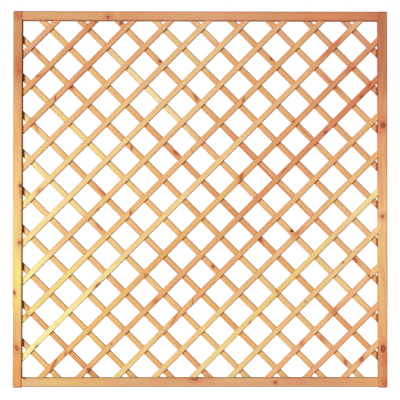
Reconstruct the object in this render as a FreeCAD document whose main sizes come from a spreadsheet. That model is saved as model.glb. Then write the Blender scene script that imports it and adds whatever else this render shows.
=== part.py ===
import FreeCAD, Part
import math
import os
import Sketcher

# Diagonal trellis panel, in millimetres.
# The panel stands upright in the XZ plane, with its front towards -Y.
# The origin is on the outer side face of the left stile, at the middle of the panel's height and depth.
# Two full-height stiles hold two rails between them, and a groove runs round the inside of this frame.
# Thin slats lie in two layers that cross at right angles, and their ends stand in the groove.

# Driving dimensions, each written once.
SIZES = {
    "panel_width": 1795,
    "panel_height": 1800,
    "member_face": 44,
    "member_depth": 44,
    "foot_length": 4,
    "foot_outer_round": 6,
    "foot_inner_round": 3,
    "member_arris": 5,
    "screw_head": 10,
    "screw_sink": 3.2,
    "groove_depth": 14,
    "groove_play": 0.25,
    "tongue_play": 0.2,
    "tongue_end_gap": 0.8,
    "slat_width": 28.5,
    "slat_thickness": 9,
    "slat_arris": 3.5,
    "slat_end_gap": 0.8,
    "slat_angle": 45,
    "slat_count": 18,
    "corner_room": 135,
    "lattice_right": 3,
    "lattice_up": 2,
}

# Lengths that follow from the driving dimensions, as expressions on the sheet.
GROOVE_WIDTH = "(2 * Sizes.slat_thickness + 2 * Sizes.groove_play)"
GROOVE_FLOOR = "(Sizes.member_face - Sizes.groove_depth)"
STILE_LENGTH = "(Sizes.panel_height + Sizes.foot_length)"
RAIL_LENGTH = "(Sizes.panel_width - 2 * Sizes.member_face)"
TONGUE_REACH = "(Sizes.groove_depth - Sizes.tongue_end_gap)"
TONGUE_THICKNESS = f"({GROOVE_WIDTH} - 2 * Sizes.tongue_play)"
SEAT_WIDTH = f"(Sizes.panel_width - 2 * {GROOVE_FLOOR} - 2 * Sizes.slat_end_gap)"
SEAT_HEIGHT = f"(Sizes.panel_height - 2 * {GROOVE_FLOOR} - 2 * Sizes.slat_end_gap)"
BATTEN_LENGTH = "(Sizes.panel_width + Sizes.panel_height)"

# The slats of a layer are spread evenly from one corner of their seat to the opposite one.
# The outermost keep the corner room to the seat's corners, measured to the middle of the slat.
COSINE = "cos(Sizes.slat_angle * 1deg)"
SINE = "sin(Sizes.slat_angle * 1deg)"
CORNER_REACH = f"({SEAT_WIDTH} / 2 * {COSINE} + {SEAT_HEIGHT} / 2 * {SINE})"
PITCH = f"(2 * ({CORNER_REACH} - Sizes.corner_room) / (Sizes.slat_count - 1))"

# Heights up a stile of the screws into the two rails' ends, and the narrowing of their sinks, in degrees.
LOWER_SCREW = "(Sizes.foot_length + Sizes.member_face / 2)"
UPPER_SCREW = f"({STILE_LENGTH} - Sizes.member_face / 2)"
SINK_TAPER = -45

NEAR = 0.01
TURNED_ROUND = 180
CORNERS = 4

doc = FreeCAD.newDocument("trellis_panel")
sheet = doc.addObject("Spreadsheet::Sheet", "Sizes")
for row, (alias, value) in enumerate(SIZES.items(), start=1):
    sheet.set(f"A{row}", alias)
    sheet.set(f"B{row}", str(value))
    sheet.setAlias(f"B{row}", alias)
doc.recompute()


def length_of(expression):
    """The value of an expression on the sheet, in millimetres."""
    return float(sheet.evalExpression(expression))


def origin_plane(body, role):
    """The plane of a body's own origin that has this role."""
    return next(plane for plane in body.Origin.OriginFeatures if plane.Role == role)


def put(piece, base, axis=None, angle=None):
    """Place a piece by three expressions, turned about an axis by an angle in degrees."""
    if axis:
        piece.Placement = FreeCAD.Placement(FreeCAD.Vector(), FreeCAD.Rotation(axis, angle))
    for letter, expression in zip("xyz", base):
        piece.setExpression(f"Placement.Base.{letter}", expression)


def fix_point(sketch, line, end, across, up):
    """Tie the end of a line to its two distances from the sketch's origin."""
    for kind, axis, expression in (("DistanceX", -2, across), ("DistanceY", -1, up)):
        if expression == "0":
            sketch.addConstraint(Sketcher.Constraint("PointOnObject", line, end, axis))
            continue
        value = length_of(expression)
        added = sketch.addConstraint(Sketcher.Constraint(kind, -1, 1, line, end, value))
        sketch.setExpression(f"Constraints[{added}]", expression)


def draw_outline(sketch, corners):
    """A closed outline of straight lines through corners, each a pair of expressions."""
    points = [FreeCAD.Vector(length_of(across), length_of(up), 0) for across, up in corners]
    for start, end in zip(points, points[1:] + points[:1]):
        sketch.addGeometry(Part.LineSegment(start, end), False)
    for line in range(len(points)):
        following = (line + 1) % len(points)
        sketch.addConstraint(Sketcher.Constraint("Coincident", line, 2, following, 1))
    for line, (across, up) in enumerate(corners):
        fix_point(sketch, line, 1, across, up)


def add_pad(body, role, name, corners, length, symmetric):
    """A straight bar: an outline on one of the body's planes, run along that plane's normal."""
    sketch = body.newObject("Sketcher::SketchObject", f"{name}_outline")
    sketch.AttachmentSupport = [(origin_plane(body, role), "")]
    sketch.MapMode = "FlatFace"
    draw_outline(sketch, corners)
    pad = body.newObject("PartDesign::Pad", name)
    pad.Profile = sketch
    pad.setExpression("Length", length)
    if symmetric:
        pad.SideType = "Symmetric"
    doc.recompute()
    return pad


def round_edges(body, name, chosen, radius):
    """Round the edges of a body's present shape that chosen says yes to."""
    base = body.Tip
    edges = [f"Edge{i}" for i, edge in enumerate(base.Shape.Edges, start=1) if chosen(edge)]
    fillet = body.newObject("PartDesign::Fillet", name)
    fillet.Base = (base, edges)
    fillet.setExpression("Radius", radius)
    base.Visibility = False
    doc.recompute()


def ends_at(edge, **places):
    """Whether both ends of an edge lie at the given coordinates."""
    return all(
        abs(getattr(vertex, letter) - place) < NEAR
        for vertex in edge.Vertexes
        for letter, place in places.items()
    )


def grooved_outline():
    """The section of a frame member, with its outer side at 0 and the groove in its inner side."""
    half_depth = "(Sizes.member_depth / 2)"
    half_groove = f"({GROOVE_WIDTH} / 2)"
    return [
        ("0", f"-{half_depth}"),
        ("Sizes.member_face", f"-{half_depth}"),
        ("Sizes.member_face", f"-{half_groove}"),
        (GROOVE_FLOOR, f"-{half_groove}"),
        (GROOVE_FLOOR, half_groove),
        ("Sizes.member_face", half_groove),
        ("Sizes.member_face", half_depth),
        ("0", half_depth),
    ]


def sink_screws(body, label):
    """Countersinks in the stile's outer side, each for the screw into one rail's end."""
    sketch = body.newObject("Sketcher::SketchObject", f"{label}_screws")
    sketch.AttachmentSupport = [(origin_plane(body, "YZ_Plane"), "")]
    sketch.MapMode = "FlatFace"
    radius = length_of("Sizes.screw_head / 2")
    for level in (LOWER_SCREW, UPPER_SCREW):
        centre = FreeCAD.Vector(0, length_of(level), 0)
        rim = sketch.addGeometry(Part.Circle(centre, FreeCAD.Vector(0, 0, 1), radius), False)
        fix_point(sketch, rim, 3, "0", level)
        added = sketch.addConstraint(Sketcher.Constraint("Radius", rim, radius))
        sketch.setExpression(f"Constraints[{added}]", "Sizes.screw_head / 2")
    sinks = body.newObject("PartDesign::Pocket", f"{label}_sinks")
    sinks.Profile = sketch
    sinks.Reversed = True
    sinks.TaperAngle = SINK_TAPER
    sinks.setExpression("Length", "Sizes.screw_sink")
    doc.recompute()


def make_stile(label):
    """An upright from end to end, with a rounded foot that stands a little below the bottom rail."""
    body = doc.addObject("PartDesign::Body", label)
    add_pad(body, "XY_Plane", f"{label}_bar", grooved_outline(), STILE_LENGTH, False)
    face = length_of("Sizes.member_face")
    half_depth = length_of("Sizes.member_depth / 2")

    def outer_foot(edge):
        return ends_at(edge, X=0, Z=0)

    def inner_foot(edge):
        return ends_at(edge, X=face, Z=0)

    def long_arris(edge):
        upright = any(ends_at(edge, X=x, Y=y) for x in (0, face) for y in (-half_depth, half_depth))
        return upright and edge.Length > face

    round_edges(body, f"{label}_outer_foot", outer_foot, "Sizes.foot_outer_round")
    round_edges(body, f"{label}_inner_foot", inner_foot, "Sizes.foot_inner_round")
    round_edges(body, f"{label}_arrises", long_arris, "Sizes.member_arris")
    sink_screws(body, label)
    return body


def make_rail(label):
    """A crosspiece between the stiles, with a tongue at each end that stands in the stile's groove."""
    body = doc.addObject("PartDesign::Body", label)
    section = [(across, up) for up, across in grooved_outline()]
    add_pad(body, "YZ_Plane", f"{label}_bar", section, RAIL_LENGTH, True)
    face = length_of("Sizes.member_face")
    half_depth = length_of("Sizes.member_depth / 2")

    def long_arris(edge):
        return any(ends_at(edge, Z=z, Y=y) for z in (0, face) for y in (-half_depth, half_depth))

    round_edges(body, f"{label}_arrises", long_arris, "Sizes.member_arris")
    half_tongue = f"({TONGUE_THICKNESS} / 2)"
    tongue = [
        (f"-{half_tongue}", "0"),
        (half_tongue, "0"),
        (half_tongue, GROOVE_FLOOR),
        (f"-{half_tongue}", GROOVE_FLOOR),
    ]
    whole_length = f"({RAIL_LENGTH} + 2 * {TONGUE_REACH})"
    add_pad(body, "YZ_Plane", f"{label}_tongues", tongue, whole_length, True)
    return body


def draw_slat_section():
    """The slat's section, a flat rectangle with rounded corners about the sketch's origin."""
    sketch = doc.addObject("Sketcher::SketchObject", "slat_section")
    half_width = "(Sizes.slat_width / 2)"
    half_thickness = "(Sizes.slat_thickness / 2)"
    flat_across = f"({half_width} - Sizes.slat_arris)"
    flat_up = f"({half_thickness} - Sizes.slat_arris)"
    radius = length_of("Sizes.slat_arris")
    quarter = math.pi / 2
    for corner, (side, level) in enumerate(((1, 1), (-1, 1), (-1, -1), (1, -1))):
        across = f"({side} * {flat_across})"
        up = f"({level} * {flat_up})"
        centre = FreeCAD.Vector(length_of(across), length_of(up), 0)
        circle = Part.Circle(centre, FreeCAD.Vector(0, 0, 1), radius)
        arc = Part.ArcOfCircle(circle, corner * quarter, (corner + 1) * quarter)
        added = sketch.addGeometry(arc, False)
        fix_point(sketch, added, 3, across, up)
    for corner in range(CORNERS):
        following = (corner + 1) % CORNERS
        start = sketch.getPoint(corner, 2)
        end = sketch.getPoint(following, 1)
        line = sketch.addGeometry(Part.LineSegment(start, end), False)
        sketch.addConstraint(Sketcher.Constraint("Tangent", corner, 2, line, 1))
        sketch.addConstraint(Sketcher.Constraint("Tangent", line, 2, following, 1))
        # The last side is upright already, once the others make all the radii equal.
        if corner < CORNERS - 1:
            level = "Horizontal" if corner % 2 == 0 else "Vertical"
            sketch.addConstraint(Sketcher.Constraint(level, line))
    rounding = sketch.addConstraint(Sketcher.Constraint("Radius", 0, radius))
    sketch.setExpression(f"Constraints[{rounding}]", "Sizes.slat_arris")
    doc.recompute()
    return sketch


def make_seat():
    """The space that the lattice fills, out to just short of the groove's floor on every side."""
    seat = doc.addObject("Part::Box", "lattice_seat")
    seat.setExpression("Length", SEAT_WIDTH)
    seat.setExpression("Width", GROOVE_WIDTH)
    seat.setExpression("Height", SEAT_HEIGHT)
    corner = (
        f"Sizes.panel_width / 2 - {SEAT_WIDTH} / 2",
        f"-{GROOVE_WIDTH} / 2",
        f"-{SEAT_HEIGHT} / 2",
    )
    put(seat, corner)
    return seat


def make_slats(layer, section, seat, lean, side):
    """One layer of parallel slats. lean is 1 for / and -1 for \\, and side is -1 in front."""
    count = round(length_of("Sizes.slat_count"))
    slats = []
    for number in range(count):
        steps = number - (count - 1) / 2
        offset = f"({steps} * {PITCH})"
        batten = doc.addObject("Part::Extrusion", f"{layer}_batten_{number + 1:02d}")
        batten.Base = section
        batten.DirMode = "Custom"
        batten.Dir = FreeCAD.Vector(0, 0, 1)
        batten.Solid = True
        batten.Symmetric = True
        batten.setExpression("LengthFwd", BATTEN_LENGTH)
        place = (
            f"Sizes.panel_width / 2 + Sizes.lattice_right + {offset} * {COSINE}",
            f"{side} * Sizes.slat_thickness / 2",
            f"Sizes.lattice_up - {lean} * {offset} * {SINE}",
        )
        put(batten, place, FreeCAD.Vector(0, lean, 0), length_of("Sizes.slat_angle"))
        batten.setExpression("Placement.Rotation.Angle", "Sizes.slat_angle")
        slat = doc.addObject("Part::Common", f"{layer}_slat_{number + 1:02d}")
        slat.Base = batten
        slat.Tool = seat
        slats.append(slat)
    return slats


left_stile = make_stile("left_stile")
put(left_stile, ("0", "0", "-Sizes.panel_height / 2 - Sizes.foot_length"))

right_stile = make_stile("right_stile")
put(
    right_stile,
    ("Sizes.panel_width", "0", "-Sizes.panel_height / 2 - Sizes.foot_length"),
    FreeCAD.Vector(0, 0, 1),
    TURNED_ROUND,
)

bottom_rail = make_rail("bottom_rail")
put(bottom_rail, ("Sizes.panel_width / 2", "0", "-Sizes.panel_height / 2"))

top_rail = make_rail("top_rail")
put(
    top_rail,
    ("Sizes.panel_width / 2", "0", "Sizes.panel_height / 2"),
    FreeCAD.Vector(1, 0, 0),
    TURNED_ROUND,
)

slat_section = draw_slat_section()
lattice_seat = make_seat()
front_slats = make_slats("front", slat_section, lattice_seat, lean=1, side=-1)
back_slats = make_slats("back", slat_section, lattice_seat, lean=-1, side=1)
doc.recompute()

parts = [left_stile, right_stile, bottom_rail, top_rail, *front_slats, *back_slats]
for item in doc.Objects:
    if "Invalid" in item.State or "Error" in item.State:
        raise RuntimeError(f"{item.Label} failed: {item.State}")
for part in parts:
    if part.Shape.isNull() or not part.Shape.isValid() or not part.Shape.Solids:
        raise RuntimeError(f"{part.Label} has no valid solid")

os.makedirs("parts", exist_ok=True)
for part in parts:
    part.Shape.exportStep(f"parts/{part.Label}.step")
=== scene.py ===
"""Looks of the diagonal trellis panel: stained softwood boards, their staples, and the studio round them."""

import math
import random
from collections import namedtuple

import bmesh
import bpy
from mathutils import Matrix, Quaternion, Vector


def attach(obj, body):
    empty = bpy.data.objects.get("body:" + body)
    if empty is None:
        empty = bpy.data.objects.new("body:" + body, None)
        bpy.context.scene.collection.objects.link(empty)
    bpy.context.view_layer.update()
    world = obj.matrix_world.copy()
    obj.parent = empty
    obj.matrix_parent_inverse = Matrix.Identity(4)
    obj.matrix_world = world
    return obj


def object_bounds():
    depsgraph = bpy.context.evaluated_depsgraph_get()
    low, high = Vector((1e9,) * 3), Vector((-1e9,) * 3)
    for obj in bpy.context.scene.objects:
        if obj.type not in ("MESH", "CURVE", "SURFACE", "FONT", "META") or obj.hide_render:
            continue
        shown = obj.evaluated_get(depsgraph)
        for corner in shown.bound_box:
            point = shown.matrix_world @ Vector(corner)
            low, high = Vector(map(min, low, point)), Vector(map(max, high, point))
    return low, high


# How the boards of each kind are turned about Y from lying along X.
TURNS = {"front": -math.pi / 4, "back": math.pi / 4, "stile": -math.pi / 2, "rail": 0.0}

# Stain tones of the boards, as they look in the middle of the panel, in linear light.
TONES = {
    "cream": (0.83, 0.7, 0.33),
    "straw": (0.81, 0.62, 0.28),
    "lemon": (0.81, 0.6, 0.215),
    "wheat": (0.79, 0.54, 0.23),
    "tan": (0.77, 0.46, 0.19),
    "amber": (0.75, 0.4, 0.17),
    "honey": (0.75, 0.41, 0.145),
    "salmon": (0.71, 0.33, 0.135),
    "russet": (0.67, 0.25, 0.095),
    "umber": (0.7, 0.38, 0.16),
    "rust": (0.59, 0.23, 0.09),
    "brick": (0.54, 0.195, 0.08),
    "clay": (0.65, 0.29, 0.12),
    "rose": (0.71, 0.33, 0.175),
    "buff": (0.69, 0.4, 0.21),
    "blush": (0.82, 0.5, 0.245),
}
# The tones of each board along its length, from the left or from the foot.
BOARD_TONES = {
    "left_stile": "russet salmon lemon tan amber salmon rust rust",
    "right_stile": "umber tan wheat wheat amber salmon brick brick",
    "bottom_rail": "buff umber buff buff buff buff tan",
    "top_rail": "clay clay clay umber umber clay russet rust",
    "front_slat_01": "rose salmon",
    "front_slat_02": "salmon russet",
    "front_slat_03": "salmon",
    "front_slat_04": "tan amber tan",
    "front_slat_05": "wheat tan wheat",
    "front_slat_06": "straw wheat tan",
    "front_slat_07": "straw tan wheat tan",
    "front_slat_08": "lemon tan honey",
    "front_slat_09": "cream straw wheat tan",
    "front_slat_10": "honey honey salmon",
    "front_slat_11": "amber amber salmon russet",
    "front_slat_12": "straw amber tan tan",
    "front_slat_13": "straw wheat tan",
    "front_slat_14": "cream lemon cream",
    "front_slat_15": "straw wheat straw",
    "front_slat_16": "blush",
    "front_slat_17": "blush",
    "front_slat_18": "blush",
    "back_slat_01": "amber",
    "back_slat_02": "salmon salmon",
    "back_slat_03": "amber honey",
    "back_slat_04": "tan amber",
    "back_slat_05": "tan amber amber",
    "back_slat_06": "straw wheat tan wheat",
    "back_slat_07": "wheat honey tan honey wheat",
    "back_slat_08": "salmon lemon tan tan wheat",
    "back_slat_09": "salmon honey honey wheat straw",
    "back_slat_10": "honey honey salmon honey honey",
    "back_slat_11": "salmon cream tan wheat wheat",
    "back_slat_12": "honey honey salmon tan tan",
    "back_slat_13": "wheat honey amber wheat",
    "back_slat_14": "wheat honey tan tan",
    "back_slat_15": "honey honey tan",
    "back_slat_16": "tan",
    "back_slat_17": "umber",
    "back_slat_18": "umber",
}

# Painted light over half the panel, drawn into the stain for red, green and blue: straight across and up,
# then bowed.
# It is paler to the left, yellower towards the foot, and darker at the top and the foot than between them,
# standing in for how the light falls over the panel.
PAINTED_LIGHT_DRIFTS = (
    (Vector((-0.01, 0, 0.025)), Vector((0.02, 0, -0.055))),
    (Vector((-0.13, 0, 0.03)), Vector((0.1, 0, -0.055))),
    (Vector((-0.09, 0, 0.13)), Vector((0.08, 0, -0.01))),
)
PANEL_MIDDLE = Vector((0.8975, 0, 0))
HALF_PANEL = 0.9
# What one step of paleness does to red, green and blue.
PALENESS = (0.2, 1.0, 0.95)

# A knot or a stained fleck. Its place is along the panel's width, or up a stile, and across the board as a
# share of its half width. Then come its half length and half width in metres, its turn in degrees and its
# kind.
Spot = namedtuple("Spot", "at across long wide turn kind")
SPOTS = {
    "front_slat_02": [
        Spot(0.121, 0.4, 0.013, 0.004, -35, "scar"),
        Spot(0.391, 0.0, 0.007, 0.011, 10, "knot"),
    ],
    "front_slat_03": [Spot(0.198, -0.25, 0.018, 0.003, 40, "knot")],
    "front_slat_05": [Spot(0.121, -0.3, 0.012, 0.006, 0, "fleck")],
    "front_slat_07": [Spot(0.397, -0.8, 0.01, 0.004, 0, "knot")],
    "front_slat_08": [
        Spot(0.067, 0.0, 0.01, 0.01, 0, "fleck"),
        Spot(0.561, -0.3, 0.01, 0.004, 45, "knot"),
        Spot(0.857, 0.0, 0.009, 0.0015, 60, "knot"),
        Spot(1.103, -0.3, 0.014, 0.005, 40, "scar"),
    ],
    "front_slat_09": [
        Spot(0.106, -0.75, 0.012, 0.005, 0, "knot"),
        Spot(0.399, -0.7, 0.016, 0.006, 0, "knot"),
        Spot(1.531, 0.1, 0.06, 0.01, 0, "fleck"),
    ],
    "front_slat_10": [
        Spot(0.197, 0.0, 0.03, 0.004, 15, "scar"),
        Spot(0.25, -0.2, 0.012, 0.003, 30, "scar"),
        Spot(0.629, -0.2, 0.005, 0.003, 20, "knot"),
        Spot(1.094, 0.1, 0.02, 0.008, 30, "scar"),
        Spot(1.354, 0.8, 0.008, 0.004, 0, "knot"),
        Spot(1.614, -0.2, 0.016, 0.01, 0, "fleck"),
    ],
    "front_slat_11": [
        Spot(0.358, -0.5, 0.01, 0.008, 0, "knot"),
        Spot(0.473, 0.2, 0.005, 0.004, 0, "knot"),
        Spot(0.682, -0.1, 0.012, 0.006, 0, "fleck"),
        Spot(1.305, 0.4, 0.02, 0.002, 0, "knot"),
        Spot(1.496, -0.45, 0.01, 0.006, 0, "knot"),
        Spot(1.669, -0.4, 0.009, 0.005, 0, "knot"),
        Spot(1.714, 0.3, 0.012, 0.004, 30, "scar"),
    ],
    "front_slat_12": [
        Spot(0.777, 0.2, 0.035, 0.004, 18, "fleck"),
        Spot(0.862, 0.0, 0.014, 0.002, 40, "knot"),
    ],
    "front_slat_13": [Spot(1.365, 0.3, 0.018, 0.007, 0, "fleck")],
    "front_slat_14": [
        Spot(1.128, -0.8, 0.009, 0.004, 20, "knot"),
        Spot(1.27, 0.3, 0.005, 0.009, -10, "scar"),
    ],
    "front_slat_15": [
        Spot(1.404, 0.1, 0.004, 0.004, 0, "knot"),
        Spot(1.588, 0.5, 0.004, 0.004, 0, "knot"),
    ],
    "front_slat_16": [
        Spot(1.386, 0.2, 0.014, 0.006, 35, "fleck"),
        Spot(1.541, 0.0, 0.018, 0.01, 0, "fleck"),
        Spot(1.709, 0.0, 0.005, 0.012, -25, "scar"),
    ],
    "front_slat_18": [Spot(1.674, 0.1, 0.015, 0.009, 10, "scar")],
    "back_slat_02": [Spot(0.364, 0.0, 0.01, 0.009, 0, "fleck")],
    "back_slat_06": [Spot(0.405, 0.5, 0.026, 0.006, -10, "fleck")],
    "back_slat_07": [
        Spot(0.107, 0.1, 0.02, 0.006, -20, "fleck"),
        Spot(0.426, 0.4, 0.03, 0.006, 0, "fleck"),
        Spot(0.742, -0.8, 0.12, 0.003, 0, "fleck"),
    ],
    "back_slat_08": [Spot(0.957, 0.2, 0.009, 0.006, 0, "knot")],
    "back_slat_09": [
        Spot(0.11, 0.4, 0.02, 0.005, -20, "fleck"),
        Spot(0.277, 0.1, 0.01, 0.008, -20, "scar"),
        Spot(0.566, 0.0, 0.014, 0.004, -35, "knot"),
        Spot(1.481, 0.0, 0.02, 0.01, 0, "fleck"),
        Spot(1.596, -0.1, 0.02, 0.006, -30, "scar"),
    ],
    "back_slat_10": [
        Spot(0.775, 0.4, 0.014, 0.008, 10, "scar"),
        Spot(1.186, 0.0, 0.018, 0.008, -30, "scar"),
    ],
    "back_slat_11": [Spot(1.333, 0.3, 0.007, 0.007, 0, "hole")],
    "back_slat_12": [
        Spot(0.514, 0.2, 0.008, 0.008, 0, "knot"),
        Spot(0.699, 0.4, 0.009, 0.007, -20, "knot"),
        Spot(0.874, 0.3, 0.02, 0.006, -20, "scar"),
        Spot(1.268, -0.7, 0.12, 0.003, 0, "fleck"),
        Spot(1.646, -0.3, 0.02, 0.007, 0, "scar"),
    ],
    "back_slat_14": [Spot(1.402, 0.1, 0.05, 0.004, 0, "fleck")],
    "back_slat_15": [Spot(1.234, 0.6, 0.009, 0.006, 0, "knot")],
    "back_slat_16": [Spot(1.53, 0.0, 0.06, 0.004, 0, "fleck")],
    "left_stile": [
        Spot(0.611, -0.45, 0.009, 0.006, 0, "scar"),
        Spot(0.63, -0.1, 0.03, 0.008, 0, "fleck"),
        Spot(0.88, 0.0, 0.014, 0.014, 0, "fleck"),
        Spot(0.062, -0.6, 0.01, 0.008, 0, "knot"),
        Spot(0.03, -0.7, 0.014, 0.005, 0, "fleck"),
        Spot(-0.211, -0.5, 0.01, 0.008, 0, "scar"),
        Spot(-0.451, 0.6, 0.012, 0.006, 15, "knot"),
        Spot(-0.714, 0.1, 0.016, 0.009, 15, "fleck"),
        Spot(-0.714, 0.1, 0.014, 0.007, 15, "eye"),
    ],
    "right_stile": [
        Spot(0.357, -0.1, 0.02, 0.013, 0, "fleck"),
        Spot(0.353, -0.3, 0.012, 0.008, 0, "scar"),
        Spot(0.353, 0.0, 0.015, 0.01, 0, "eye"),
        Spot(-0.084, 0.0, 0.012, 0.01, 0, "fleck"),
        Spot(-0.084, 0.1, 0.01, 0.008, 0, "scar"),
        Spot(-0.717, 0.0, 0.021, 0.014, 0, "scar"),
        Spot(-0.717, 0.0, 0.018, 0.012, 0, "eye"),
        Spot(-0.762, -0.3, 0.03, 0.012, 0, "fleck"),
        Spot(-0.885, -0.5, 0.016, 0.009, 0, "fleck"),
    ],
    "top_rail": [
        Spot(0.455, -0.3, 0.012, 0.01, 0, "fleck"),
        Spot(0.455, -0.3, 0.007, 0.007, 0, "knot"),
    ],
    "bottom_rail": [
        # The first spot is a dark mark in the inner corner by the left stile, drawn with the look of a hole.
        Spot(0.056, 0.95, 0.007, 0.004, -40, "hole"),
        Spot(0.871, 0.9, 0.018, 0.012, 0, "fleck"),
        Spot(0.871, 0.9, 0.018, 0.012, 0, "eye"),
        Spot(1.257, 0.0, 0.008, 0.007, 0, "knot"),
    ],
}
# The tone of each kind of spot, and how much of the wood's own tone it hides. An eye is only a dark ring.
SPOT_LOOKS = {
    "knot": ((0.22, 0.06, 0.03), 0.85),
    "eye": ((0.22, 0.06, 0.03), 0.85),
    "scar": ((0.38, 0.08, 0.035), 0.78),
    "fleck": ((0.54, 0.15, 0.07), 0.6),
    "hole": ((0.09, 0.025, 0.01), 0.95),
}
# How far out a spot's core and halo fade in and an eye's pale heart ends, as shares of the spot's half size.
CORE_FADE = (1.15, 0.75)
HALO_FADE = (3.2, 0.8)
EYE_HEART = (0.2, 0.6)

# The wood's figure: cells of noise in a metre along, through and across a board.
CLOUD_GRAIN = (3.5, 12, 18)
STREAK_GRAIN = (0.9, 60, 90)
FIBRE_GRAIN = (14, 700, 700)
FIBRE_DETAIL = 3.0
SPOT_GRAIN = (130, 130, 130)
RING_GRAIN = (1.6, 9, 9)
# Each board shows another stretch of the same noise, up to this far off.
GRAIN_REACH = 20
# How strongly each mark of the figure makes the stain paler or, for rings and halos, darker.
CLOUD_DEPTH = 0.7
STREAK_DEPTH = 0.3
FIBRE_DEPTH = 0.1
RING_DEPTH = 0.2
HALO_DEPTH = 0.32
# One year's ring, how far rings wander and are pushed aside by a knot, and how much of the way along the
# board counts for their radius. The pith is that near to the origin of a board's noise, far from the board.
RING_WIDTH = 0.0032
RING_WANDER = 0.02
RING_PUSH = 0.006
RING_ALONG = 0.02
PITH_REACH = (0.03, 0.08)
# Where the late wood of a ring sets in, and where it ends, as shares of the ring.
LATE_WOOD = (0.35, 0.85)
LATE_WOOD_END = (1.0, 0.92)
# The surface of the boards.
SHEEN = 0.03
WOOD_ROUGHNESS = 0.62
FIBRE_ROUGHNESS = 0.25
RING_DENT = 0.3
BUMP_STRENGTH = 0.35
BUMP_HEIGHT = 0.0004

# The stain is thicker and browner along the edges, and shade is painted over it there: fully on the side
# turned from the light and by a share on the lit side.
# The middle of a board's sides has another share of the painted shade.
EDGE_WIDTH = 0.0065
EDGE_STAIN_AND_SHADE_TONE = (0.46, 0.25, 0.18)
LIT_SIDE_SHARE = 0.35
SIDE_SHARE = 0.5
# Which way from the middle line the side turned from the light lies, which gets the painted shade, in the
# coordinates across a board of each kind.
SHADED_SIDES = {"front": -1, "back": 1, "stile": -1, "top_rail": 1, "bottom_rail": -1}
# Painted shade also darkens the back slats beside the stiles, where the stiles shade them: how far from them
# it sets in and is full.
STILE_SHADE_REACH = (0.012, 0.006)
STILE_SHADE_TONE = (0.3, 0.06, 0.04)
STILE_SHADE_SHARE = 0.85

# Staples at the crossings, on the back, and how far each strays and turns from its place.
STAPLE_HALF_WIDTH = 0.005
STAPLE_RISE = 0.0005
STAPLE_LEG = 0.003
STAPLE_STRAY = 0.003
STAPLE_TILT = 0.15
# Half the width and half the thickness of the flat wire.
STAPLE_WIRE = Vector((0.0006, 0.0003))
# The heads of the screws in the stiles' sides.
SCREW_RADIUS = 0.0045
SCREW_DEPTH = 0.0026
SCREW_SUNK = 0.0004
CROSS_REACH = 0.0026
CROSS_HALF_WIDTH = 0.0005
CROSS_DEPTH = 0.0016
# The points on a head lie in rings: close ones for the cross recess, then one near the rim and the rim.
HEAD_TURNS = 48
HEAD_STEP = 0.0004
HEAD_STEPS = 7
HEAD_NEAR_RIM = 0.0036
# The steel of both.
STEEL_TONE = (0.55, 0.55, 0.53)
STEEL_GRAIN = (900, 900, 900)
STEEL_SPECKLE = 0.5
STEEL_ROUGHNESS = 0.45
STEEL_UNEVEN = 0.3

# Seeds of the random draws for the boards and for the staples.
BOARD_SEED = 11
STAPLE_SEED = 5

# The camera of the photograph, in the row frame: nearly square on, a little left of and below the middle.
SENSOR_WIDTH = 36
LENS = 124
CAMERA_PLACE = Vector((0.849, -6.622, -0.103))
CAMERA_AIM = Vector((0.896, -0.022, -0.006))
CAMERA_ROLL = 0.0006

# The studio. The floor and the world glow little on the object, and much where the camera sees them.
FLOOR_SIZE = 12
FLOOR_TONE = (0.8, 0.8, 0.8)
FLOOR_GLOW = 0.02
FLOOR_SEEN_TONE = (0.4, 0.4, 0.4)
FLOOR_SEEN_GLOW = 0.93
WORLD_GLOW = 0.04
WORLD_SEEN_GLOW = 1.0
WHITE = (1, 1, 1)
# Each lamp's place, size and power. The last two are in the panel's plane, for its outer sides.
LAMPS = {
    "key": (Vector((-8.6, -16.7, 3)), 6, 3640),
    "fill": (Vector((9, -16, 2.5)), 3, 60),
    "back": (Vector((-2.5, 6.5, 3.5)), 3, 450),
    "right": (Vector((9.5, 0, 0)), 0.2, 290),
    "above": (Vector((0.9, 0, 8.9)), 0.2, 200),
}

# The factor and the two colours among a Mix node's inputs, and the colour among its outputs.
MIX_INPUTS = (0, 6, 7)
MIX_OUTPUT = 2


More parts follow.
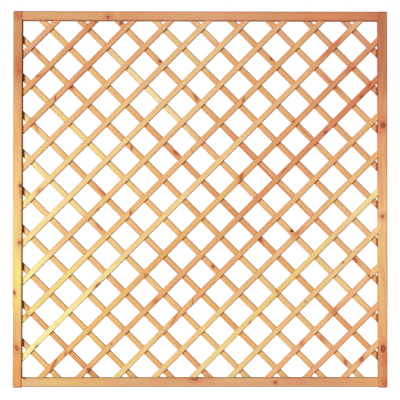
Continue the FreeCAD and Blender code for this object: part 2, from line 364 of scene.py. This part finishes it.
class Graph:
    """A node tree with a short call for each kind of node. An input is a number, a tuple or a socket."""

    def __init__(self, tree):
        self.tree = tree

    def feed(self, socket, value):
        if isinstance(value, bpy.types.NodeSocket):
            self.tree.links.new(value, socket)
        else:
            socket.default_value = value

    def node(self, kind, inputs=None, **settings):
        made = self.tree.nodes.new("ShaderNode" + kind)
        for name, value in settings.items():
            setattr(made, name, value)
        for key, value in (inputs or {}).items():
            self.feed(made.inputs[key], value)
        return made

    def math(self, operation, *values):
        return self.node("Math", dict(enumerate(values)), operation=operation).outputs[0]

    def vector(self, operation, *values):
        return self.node("VectorMath", dict(enumerate(values)), operation=operation).outputs[0]

    def length(self, vector):
        return self.node("VectorMath", {0: vector}, operation="LENGTH").outputs["Value"]

    def dot(self, *values):
        made = self.node("VectorMath", dict(enumerate(values)), operation="DOT_PRODUCT")
        return made.outputs["Value"]

    def ramp(self, value, start, end, low=0.0, high=1.0):
        """A smooth step from low, where the value is at start, to high, where it is at end."""
        inputs = {"Value": value, "From Min": start, "From Max": end, "To Min": low, "To Max": high}
        return self.node("MapRange", inputs, interpolation_type="SMOOTHSTEP").outputs[0]

    def noise(self, place, stretch, detail=2.0):
        """Noise about 0, with that many cells a metre along, through and across the board."""
        scaled = self.vector("MULTIPLY", place, stretch)
        noise = self.node("TexNoise", {"Vector": scaled, "Scale": 1.0, "Detail": detail})
        return self.math("SUBTRACT", noise.outputs[0], 0.5)

    def blend(self, factor, first, second, how="MIX"):
        mix = self.node("Mix", data_type="RGBA", blend_type=how)
        for number, value in zip(MIX_INPUTS, (factor, first, second)):
            self.feed(mix.inputs[number], value)
        return mix.outputs[MIX_OUTPUT]


def new_material(name):
    material = bpy.data.materials.new(name)
    material.use_nodes = True
    material.node_tree.nodes.clear()
    return material, Graph(material.node_tree)


def colour(tone):
    return (*tone, 1.0)


Board = namedtuple("Board", "name turn along centre half_length half_depth half_width")


def kind_of(name):
    """Front or back for a slat, and stile or rail for a piece of the frame."""
    first, second = name.split("_")[:2]
    return first if second == "slat" else second


def board_of(name):
    """Where a CAD board lies: its turn about Y, its direction, its middle and its half sizes."""
    turn = TURNS[kind_of(name)]
    axes = Matrix.Rotation(turn, 3, "Y")
    corners = [axes.transposed() @ vertex.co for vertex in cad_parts[name].data.vertices]
    low = Vector(map(min, zip(*corners)))
    high = Vector(map(max, zip(*corners)))
    return Board(name, turn, axes.col[0], axes @ ((low + high) / 2), *((high - low) / 2))


def place_on_board(graph, board):
    """Coordinates along, through and across the board, in metres from its middle."""
    row = graph.node("TexCoord").outputs["Object"]
    inputs = {"Vector": row, "Location": board.centre, "Rotation": (0, board.turn, 0)}
    return graph.node("Mapping", inputs, vector_type="TEXTURE").outputs[0]


def along_board(board, at):
    """The distance from the board's middle of a place given across the panel, or up it for a stile."""
    if board.name.endswith("stile"):
        return at - board.centre.z
    return (at - board.centre.x) / math.cos(board.turn)


def spot_marks(graph, place, board, spot):
    """The core of a knot or fleck and the halo round it, both from 0 to 1."""
    middle = (along_board(board, spot.at), 0, spot.across * board.half_width)
    flat = graph.vector("MULTIPLY", place, (1, 0, 1))
    inputs = {"Vector": flat, "Location": middle, "Rotation": (0, -math.radians(spot.turn), 0)}
    inputs["Scale"] = (spot.long, 1, spot.wide)
    local = graph.node("Mapping", inputs, vector_type="TEXTURE").outputs[0]
    uneven = graph.noise(place, SPOT_GRAIN)
    away = graph.math("ADD", graph.length(local), uneven)
    core = graph.ramp(away, *CORE_FADE)
    if spot.kind == "eye":
        core = graph.math("MULTIPLY", core, graph.ramp(away, *EYE_HEART))
    return core, graph.ramp(away, *HALO_FADE)


def stain_with_painted_light(graph, paleness):
    """The stain's share of red, green and blue, with the painted light that drifts over the whole panel."""
    row = graph.node("TexCoord").outputs["Object"]
    share = graph.vector("DIVIDE", graph.vector("SUBTRACT", row, PANEL_MIDDLE), (HALF_PANEL,) * 3)
    squared = graph.vector("MULTIPLY", share, share)
    channels = []
    for step, (straight, bowed) in zip(PALENESS, PAINTED_LIGHT_DRIFTS):
        painted_drift = graph.math("ADD", graph.dot(share, straight), graph.dot(squared, bowed))
        exponent = graph.math("ADD", painted_drift, graph.math("MULTIPLY", paleness, step))
        channels.append(graph.math("POWER", math.e, exponent))
    return graph.node("CombineColor", dict(enumerate(channels))).outputs[0]


def growth_rings(graph, place, push, dice):
    """Dark late wood of each year's ring, from 0 to 1, round a pith that lies far outside the board."""
    pith_turn = dice.uniform(0, 2 * math.pi)
    pith_away = dice.uniform(*PITH_REACH)
    pith = (0, pith_away * math.cos(pith_turn), pith_away * math.sin(pith_turn))
    from_pith = graph.vector("MULTIPLY", graph.vector("SUBTRACT", place, pith), (RING_ALONG, 1, 1))
    wander = graph.math("MULTIPLY", graph.noise(place, RING_GRAIN), RING_WANDER)
    radius = graph.math("ADD", graph.length(from_pith), wander)
    radius = graph.math("ADD", radius, graph.math("MULTIPLY", push, RING_PUSH))
    phase = graph.math("FRACT", graph.math("DIVIDE", radius, RING_WIDTH))
    grown = graph.ramp(phase, *LATE_WOOD)
    return graph.math("MULTIPLY", grown, graph.ramp(phase, *LATE_WOOD_END))


def edge_shade(graph, place, board):
    """The long edges and the ends of the board, where the stain lies thick, with painted shade along the
    edges and sides, deepest on the side turned from the light.
    """
    kind = board.name if board.name in SHADED_SIDES else kind_of(board.name)
    lean = graph.math("MULTIPLY", graph.node("SeparateXYZ", {0: place}).outputs[2], SHADED_SIDES[kind])
    # Painted shade: the edge on the side turned from the light takes the full edge tone, the lit side only
    # its share.
    share = graph.ramp(lean, -board.half_width, board.half_width, LIT_SIDE_SHARE, 1.0)
    size = graph.node("SeparateXYZ", {0: graph.vector("ABSOLUTE", place)})
    near_end = graph.ramp(size.outputs[0], board.half_length - EDGE_WIDTH, board.half_length)
    near_depth = graph.ramp(size.outputs[1], board.half_depth - EDGE_WIDTH, board.half_depth, SIDE_SHARE)
    near_width = graph.ramp(size.outputs[2], board.half_width - EDGE_WIDTH, board.half_width)
    along = graph.math("MULTIPLY", graph.math("MULTIPLY", near_depth, near_width), share)
    return graph.math("MAXIMUM", near_end, along)


def painted_stile_shade(graph):
    """How much painted shade darkens the back slats beside the stiles, from 0 to its full share."""
    stile = board_of("right_stile")
    inner_face = stile.centre.x - stile.half_width - PANEL_MIDDLE.x
    row = graph.node("TexCoord").outputs["Object"]
    across = graph.node("SeparateXYZ", {0: graph.vector("SUBTRACT", row, PANEL_MIDDLE)}).outputs[0]
    start, end = (inner_face - reach for reach in STILE_SHADE_REACH)
    return graph.ramp(graph.math("ABSOLUTE", across), start, end, 0.0, STILE_SHADE_SHARE)


def tone_along(graph, place, board):
    """The tone of a board, which passes smoothly from each of its tones to the next along its length."""
    tones = [colour(TONES[name]) for name in BOARD_TONES[board.name].split()]
    along = graph.node("SeparateXYZ", {0: place}).outputs[0]
    step = 2 * board.half_length / max(len(tones) - 1, 1)
    tone = tones[0]
    for number, following in enumerate(tones[1:]):
        start = number * step - board.half_length
        tone = graph.blend(graph.ramp(along, start, start + step), tone, following)
    return tone


def timber(board, dice):
    """Stained softwood with the figure, knots and flecks of one board."""
    material, graph = new_material("timber_" + board.name)
    place = place_on_board(graph, board)
    own = graph.vector("ADD", place, tuple(dice.uniform(-GRAIN_REACH, GRAIN_REACH) for _ in range(3)))

    halo = 0.0
    cores = []
    for spot in SPOTS.get(board.name, []):
        core, around = spot_marks(graph, place, board, spot)
        cores.append((spot.kind, core))
        halo = graph.math("MAXIMUM", halo, around)

    rings = growth_rings(graph, own, halo, dice)
    fibre = graph.noise(own, FIBRE_GRAIN, detail=FIBRE_DETAIL)
    paleness = graph.math("MULTIPLY", graph.noise(own, STREAK_GRAIN), STREAK_DEPTH)
    for depth, mark in (
        (CLOUD_DEPTH, graph.noise(own, CLOUD_GRAIN)),
        (FIBRE_DEPTH, fibre),
        (-RING_DEPTH, rings),
        (-HALO_DEPTH, halo),
    ):
        paleness = graph.math("ADD", paleness, graph.math("MULTIPLY", mark, depth))

    # The board's own tones, its stain and figure, and the painted light drifting over the panel.
    tone = graph.blend(1.0, tone_along(graph, place, board), stain_with_painted_light(graph, paleness), how="MULTIPLY")
    # Thick stain on the edges, with painted shade on the side turned from the light and on the sides.
    tone = graph.blend(edge_shade(graph, place, board), tone, colour(EDGE_STAIN_AND_SHADE_TONE), how="MULTIPLY")
    # Painted shade on the back slats beside the stiles.
    if board.name.startswith("back"):
        tone = graph.blend(painted_stile_shade(graph), tone, colour(STILE_SHADE_TONE))
    for kind, core in cores:
        spot_tone, hidden = SPOT_LOOKS[kind]
        tone = graph.blend(graph.math("MULTIPLY", core, hidden), tone, colour(spot_tone))

    rough = graph.math("ADD", graph.math("MULTIPLY", fibre, FIBRE_ROUGHNESS), WOOD_ROUGHNESS)
    height = graph.math("SUBTRACT", fibre, graph.math("MULTIPLY", rings, RING_DENT))
    bump = graph.node("Bump", {"Strength": BUMP_STRENGTH, "Distance": BUMP_HEIGHT, "Height": height})
    looks = {"Base Color": tone, "Roughness": rough, "Specular IOR Level": SHEEN, "Normal": bump.outputs[0]}
    shader = graph.node("BsdfPrincipled", looks)
    graph.node("OutputMaterial", {"Surface": shader.outputs[0]})
    return material


def stain_boards():
    """Give every board its own timber, and return the boards by name."""
    dice = random.Random(BOARD_SEED)
    boards = {name: board_of(name) for name in BOARD_TONES}
    for name, board in boards.items():
        material = timber(board, dice)
        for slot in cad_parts[name].material_slots:
            slot.material = material
    return boards


def galvanised_steel():
    material, graph = new_material("galvanised_steel")
    row = graph.node("TexCoord").outputs["Object"]
    speckle = graph.noise(row, STEEL_GRAIN)
    bright = graph.math("ADD", graph.math("MULTIPLY", speckle, STEEL_SPECKLE), 1.0)
    tone = graph.node("VectorMath", {0: STEEL_TONE, "Scale": bright}, operation="SCALE").outputs[0]
    rough = graph.math("ADD", graph.math("MULTIPLY", speckle, STEEL_UNEVEN), STEEL_ROUGHNESS)
    shader = graph.node("BsdfPrincipled", {"Base Color": tone, "Metallic": 1.0, "Roughness": rough})
    graph.node("OutputMaterial", {"Surface": shader.outputs[0]})
    return material


def add_piece(name, build, places, material):
    """One object that holds a copy of the built shape at each of the places, which are matrices."""
    mesh = bpy.data.meshes.new(name)
    shape = bmesh.new()
    for place in places:
        made = build(shape)
        bmesh.ops.transform(shape, matrix=place, verts=made)
    shape.normal_update()
    shape.to_mesh(mesh)
    shape.free()
    mesh.materials.append(material)
    piece = bpy.data.objects.new(name, mesh)
    bpy.context.scene.collection.objects.link(piece)
    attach(piece, "root")


def build_staple(shape):
    """A flat wire staple, its crown along X and its legs down into the wood, which is at Z 0."""
    wide, rise, leg = STAPLE_HALF_WIDTH, STAPLE_RISE, STAPLE_LEG
    bend = 2 * STAPLE_WIRE.y
    path = [(-wide, -leg), (-wide, rise - bend), (bend - wide, rise)]
    path += [(-across, up) for across, up in reversed(path)]
    rings = []
    for number, (across, up) in enumerate(path):
        before = Vector(path[max(number - 1, 0)])
        after = Vector(path[min(number + 1, len(path) - 1)])
        run = (after - before).normalized()
        out = Vector((-run.y, 0, run.x)) * STAPLE_WIRE.y
        ring = []
        for side, level in ((-1, -1), (1, -1), (1, 1), (-1, 1)):
            corner = Vector((across, side * STAPLE_WIRE.x, up)) + level * out
            ring.append(shape.verts.new(corner))
        rings.append(ring)
    for first, second in zip(rings, rings[1:]):
        for i in range(len(first)):
            j = (i + 1) % len(first)
            shape.faces.new((first[i], first[j], second[j], second[i]))
    shape.faces.new(rings[0][::-1])
    shape.faces.new(rings[-1])
    return [vertex for ring in rings for vertex in ring]


def add_staples(boards, material):
    """A staple in the back of every crossing, driven a little askew."""
    dice = random.Random(STAPLE_SEED)
    front = [board for name, board in boards.items() if name.startswith("front")]
    back = [board for name, board in boards.items() if name.startswith("back")]
    places = []
    for first in front:
        for second in back:
            between = second.centre - first.centre
            if abs(between.dot(first.along)) > first.half_length - STAPLE_HALF_WIDTH:
                continue
            if abs(between.dot(second.along)) > second.half_length - STAPLE_HALF_WIDTH:
                continue
            crossing = first.centre + first.along * between.dot(first.along)
            crossing.y = second.centre.y + second.half_depth
            sideways, up = (dice.uniform(-STAPLE_STRAY, STAPLE_STRAY) for _ in range(2))
            crossing += Vector((sideways, 0, up))
            turn = Matrix.Rotation(dice.gauss(0, STAPLE_TILT), 4, "Y")
            lay = Matrix.Rotation(-math.pi / 2, 4, "X")
            places.append(Matrix.Translation(crossing) @ turn @ lay)
    add_piece("staples", build_staple, places, material)


def build_screw_head(shape):
    """A countersunk head that faces +Z at height 0, with a cross recess."""
    angles = [2 * math.pi * step / HEAD_TURNS for step in range(HEAD_TURNS)]
    radii = [HEAD_STEP * step for step in range(1, HEAD_STEPS + 1)] + [HEAD_NEAR_RIM, SCREW_RADIUS]
    middle = shape.verts.new((0, 0, -CROSS_DEPTH))
    rings = []
    for radius in radii:
        ring = []
        for angle in angles:
            x, y = radius * math.cos(angle), radius * math.sin(angle)
            in_arm = min(abs(x), abs(y)) < CROSS_HALF_WIDTH and radius < CROSS_REACH
            ring.append(shape.verts.new((x, y, -CROSS_DEPTH if in_arm else 0)))
        rings.append(ring)
    neck = SCREW_RADIUS - SCREW_DEPTH
    rings.append([shape.verts.new((neck * math.cos(a), neck * math.sin(a), -SCREW_DEPTH)) for a in angles])
    for i in range(HEAD_TURNS):
        j = (i + 1) % HEAD_TURNS
        shape.faces.new((middle, rings[0][i], rings[0][j]))
        for first, second in zip(rings, rings[1:]):
            shape.faces.new((first[i], second[i], second[j], first[j]))
    shape.faces.new(rings[-1][::-1])
    return [middle] + [vertex for ring in rings for vertex in ring]


def add_screws(boards, material):
    """A screw head in each of the four sinks of the stiles' outer sides."""
    places = []
    for stile, out in (("left_stile", -1), ("right_stile", 1)):
        face = boards[stile].centre.x + out * (boards[stile].half_width - SCREW_SUNK)
        for rail in ("bottom_rail", "top_rail"):
            place = Matrix.Translation((face, 0, boards[rail].centre.z))
            places.append(place @ Matrix.Rotation(out * math.pi / 2, 4, "Y"))
    add_piece("screws", build_screw_head, places, material)


def add_camera():
    data = bpy.data.cameras.new("camera")
    data.sensor_width = SENSOR_WIDTH
    data.lens = LENS
    camera = bpy.data.objects.new("camera", data)
    bpy.context.scene.collection.objects.link(camera)
    camera.location = CAMERA_PLACE
    camera.rotation_mode = "QUATERNION"
    level = (CAMERA_AIM - CAMERA_PLACE).to_track_quat("-Z", "Y")
    camera.rotation_quaternion = level @ Quaternion((0, 0, 1), CAMERA_ROLL)
    bpy.context.scene.camera = camera


def add_lamps():
    for name, (place, size, power) in LAMPS.items():
        data = bpy.data.lights.new(name, "AREA")
        data.shape = "DISK"
        data.size = size
        data.energy = power
        lamp = bpy.data.objects.new(name, data)
        bpy.context.scene.collection.objects.link(lamp)
        lamp.location = place
        lamp.rotation_mode = "QUATERNION"
        lamp.rotation_quaternion = (PANEL_MIDDLE - place).to_track_quat("-Z", "Y")


def seen_directly(graph):
    """1 for what the camera sees, straight or in a reflection, and 0 for the light on the object."""
    path = graph.node("LightPath")
    seen = graph.math("MAXIMUM", path.outputs["Is Camera Ray"], path.outputs["Is Glossy Ray"])
    return graph.math("MAXIMUM", seen, path.outputs["Is Transmission Ray"])


def add_world():
    world = bpy.data.worlds.new("studio")
    bpy.context.scene.world = world
    world.use_nodes = True
    world.node_tree.nodes.clear()
    graph = Graph(world.node_tree)
    strength = graph.ramp(seen_directly(graph), 0, 1, WORLD_GLOW, WORLD_SEEN_GLOW)
    back = graph.node("Background", {"Color": colour(WHITE), "Strength": strength})
    graph.node("OutputWorld", {"Surface": back.outputs[0]})


def add_floor(height):
    material, graph = new_material("floor")
    seen = seen_directly(graph)
    tone = graph.blend(seen, colour(FLOOR_TONE), colour(FLOOR_SEEN_TONE))
    matt = graph.node("BsdfDiffuse", {"Color": tone})
    strength = graph.ramp(seen, 0, 1, FLOOR_GLOW, FLOOR_SEEN_GLOW)
    glow = graph.node("Emission", {"Color": colour(WHITE), "Strength": strength})
    pale = graph.node("AddShader", {0: matt.outputs[0], 1: glow.outputs[0]})
    graph.node("OutputMaterial", {"Surface": pale.outputs[0]})

    mesh = bpy.data.meshes.new("floor")
    half = FLOOR_SIZE / 2
    corners = [(-half, -half, 0), (half, -half, 0), (half, half, 0), (-half, half, 0)]
    mesh.from_pydata(corners, [], [(0, 1, 2, 3)])
    mesh.materials.append(material)
    floor = bpy.data.objects.new("floor", mesh)
    bpy.context.scene.collection.objects.link(floor)
    floor.location = (PANEL_MIDDLE.x, 0, height)


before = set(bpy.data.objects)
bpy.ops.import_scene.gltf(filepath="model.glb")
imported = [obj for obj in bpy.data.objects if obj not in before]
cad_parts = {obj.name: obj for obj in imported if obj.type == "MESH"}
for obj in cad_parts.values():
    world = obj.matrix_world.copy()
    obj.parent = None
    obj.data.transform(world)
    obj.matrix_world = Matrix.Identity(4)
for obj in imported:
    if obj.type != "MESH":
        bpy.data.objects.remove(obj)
cad_low, cad_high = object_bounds()
bpy.context.scene.view_settings.view_transform = "Standard"
boards = stain_boards()
steel = galvanised_steel()
add_staples(boards, steel)
add_screws(boards, steel)
add_camera()
add_lamps()
add_world()
add_floor(cad_low.z)
